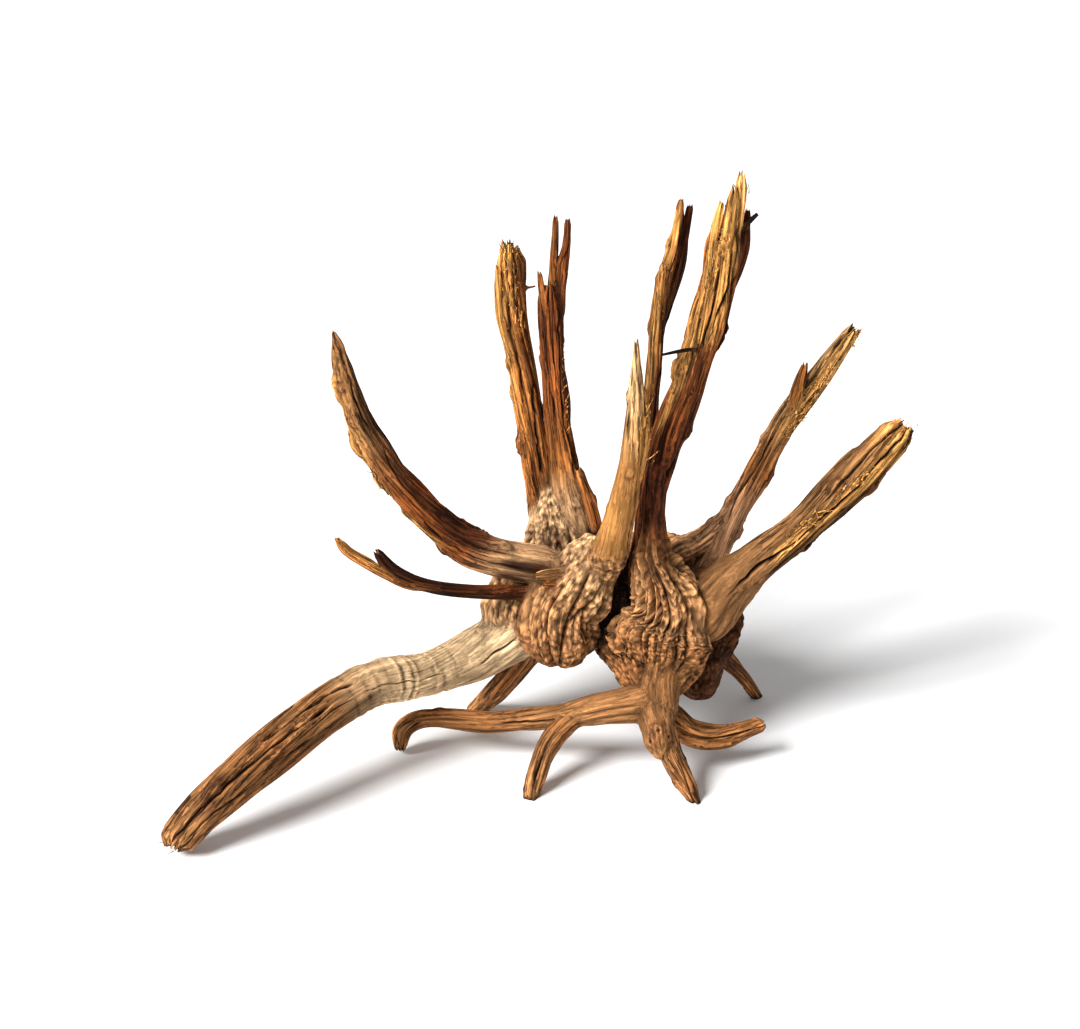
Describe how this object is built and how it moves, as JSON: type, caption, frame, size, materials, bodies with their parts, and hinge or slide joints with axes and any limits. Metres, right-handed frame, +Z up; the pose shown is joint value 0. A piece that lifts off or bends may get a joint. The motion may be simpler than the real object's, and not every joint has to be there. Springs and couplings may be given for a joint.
{
  "type": "dry root",
  "caption": "Weathered stump of a shrub: a fluted burl with broken stems fanning up and gnarled roots that it stands on, one long and arched.",
  "frame": {"origin": "on the surface the root stands on, under the middle of its bounding box", "axes": "+X towards the thick right stem and away from the long root, +Y to the back, +Z up"},
  "size_m": [0.47, 0.2358, 0.3922],
  "materials": {
    "dry_wood": "matt, weathered and unfinished"
  },
  "bodies": {
    "root": {"dry_root": "dry_wood"}
  },
  "joints": []
}
